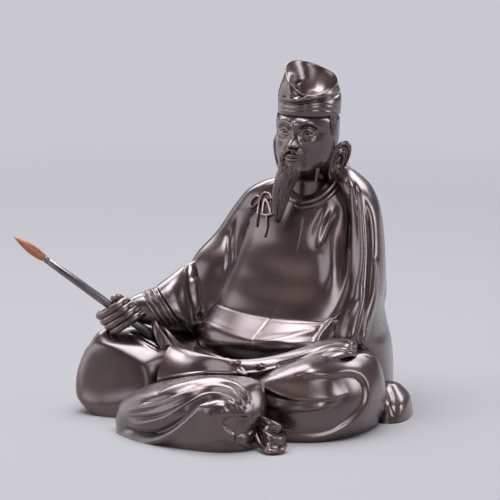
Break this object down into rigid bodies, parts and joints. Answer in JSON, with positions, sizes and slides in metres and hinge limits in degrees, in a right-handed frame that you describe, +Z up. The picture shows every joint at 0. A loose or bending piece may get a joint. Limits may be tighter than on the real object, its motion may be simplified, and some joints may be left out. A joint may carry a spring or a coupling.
{
  "type": "bronze figurine",
  "caption": "Patinated bronze figurine of a seated court poet in a soft cap and wide-sleeved robe, holding a writing brush that draws out of the fist.",
  "frame": {"origin": "middle of the footprint's bounding box, on the ground plane", "axes": "+Z up; the figure faces -Y, so +X is the figure's own left"},
  "size_m": [0.2298, 0.2106, 0.2162],
  "materials": {
    "bronze": "dark brown patina, waxed",
    "brush_lacquer": "near-black patina, waxed",
    "copper": "bare copper, brushed along the hair",
    "pins": "drawn rod"
  },
  "bodies": {
    "figure": {"tunic": "bronze", "left_sleeve": "bronze", "right_sleeve": "bronze", "inner_sleeve": "bronze", "collar_rim": "bronze", "collar_cord": "bronze", "head": "bronze", "beard": "bronze", "cap": "bronze", "right_hand": "bronze", "right_leg": "bronze", "left_leg": "bronze", "right_shin": "bronze", "front_skirt": "bronze", "sash": "bronze", "hem_tail": "bronze", "robe_train": "bronze", "neck_pin": "pins", "right_shoulder_pin": "pins", "left_shoulder_pin": "pins", "right_leg_pin": "pins", "left_leg_pin": "pins", "shin_pin": "pins"},
    "brush": {"brush_shaft": "brush_lacquer", "brush_tip": "copper"}
  },
  "joints": [
    {"name": "brush_slide", "type": "slide", "parent": "figure", "child": "brush", "axis": [-0.7517, -0.3273, 0.5725], "range_m": [0, 0.045]}
  ]
}
